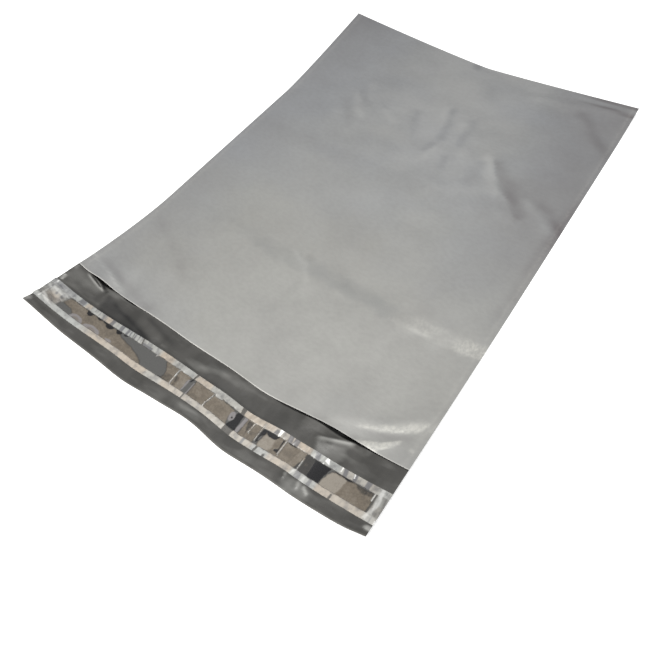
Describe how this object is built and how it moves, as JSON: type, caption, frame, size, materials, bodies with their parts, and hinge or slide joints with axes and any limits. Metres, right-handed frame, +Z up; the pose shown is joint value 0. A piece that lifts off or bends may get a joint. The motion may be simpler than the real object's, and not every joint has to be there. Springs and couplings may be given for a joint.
{
  "type": "poly mailer bag",
  "caption": "Flat self-seal mailing bag of grey plastic film with an adhesive lip under a clear release liner.",
  "frame": {"origin": "on the resting surface, below the middle of the bag's outline", "axes": "+Z up out of the front panel, +Y along the bag's length from the lip to the bottom fold, +X across the bag to the right as seen from above with the fold away"},
  "size_m": [0.305, 0.456, 0.0221],
  "materials": {
    "outer_film": "satin silver-grey film outside, glossier dark grey inside, with soft creases",
    "adhesive": "taupe hot-melt seen through the liner, smooth and tacky",
    "liner": "clear release film, milky where it stands off the lip, finely wrinkled"
  },
  "bodies": {
    "root": {"bag_film": "outer_film", "adhesive_strip": "adhesive", "release_liner": "liner"}
  },
  "joints": []
}
